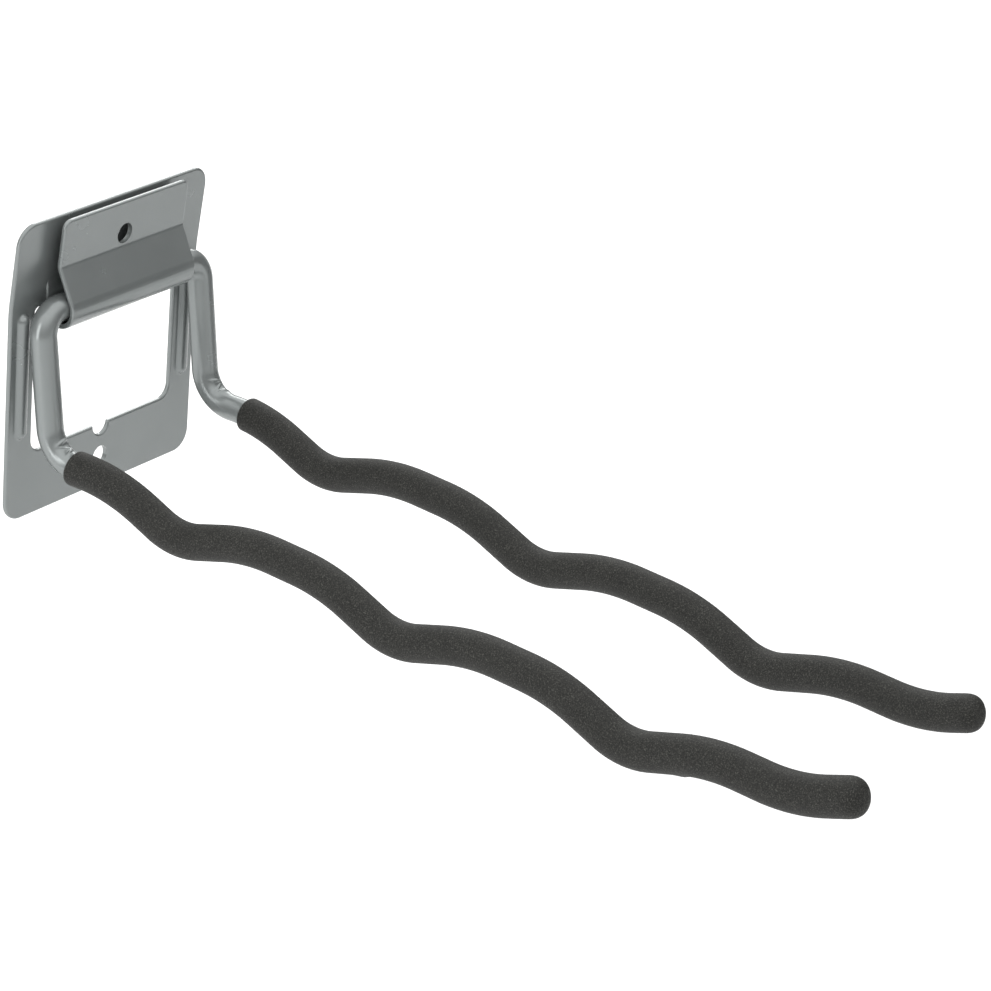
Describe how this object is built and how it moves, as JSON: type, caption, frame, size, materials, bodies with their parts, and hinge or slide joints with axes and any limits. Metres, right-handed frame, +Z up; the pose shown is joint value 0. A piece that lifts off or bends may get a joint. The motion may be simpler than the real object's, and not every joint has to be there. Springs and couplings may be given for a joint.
{
  "type": "bicycle wall rack",
  "caption": "Folding wall rack for bicycles: a pressed steel wall plate whose rolled tongue holds a bent rod hook with wavy, dip-coated arms.",
  "frame": {"origin": "back face of the wall plate, midway between its two screw holes", "axes": "+X to the right seen from the room, +Y into the wall, +Z up; the arms reach out along -Y"},
  "size_m": [0.104, 0.3595, 0.1211],
  "materials": {
    "plate_paint": "semi-gloss",
    "rod_paint": "semi-gloss",
    "sleeve_coating": "matte, finely grained"
  },
  "bodies": {
    "plate": {"wall_plate": "plate_paint"},
    "hook": {"hook_rod": "rod_paint", "left_sleeve": "sleeve_coating", "right_sleeve": "sleeve_coating"}
  },
  "joints": [
    {"name": "hook_fold", "type": "hinge", "parent": "plate", "child": "hook", "pos_m": [0, -0.0086, 0.0251], "axis": [-1, 0, 0], "range_deg": [-1, 101]}
  ]
}
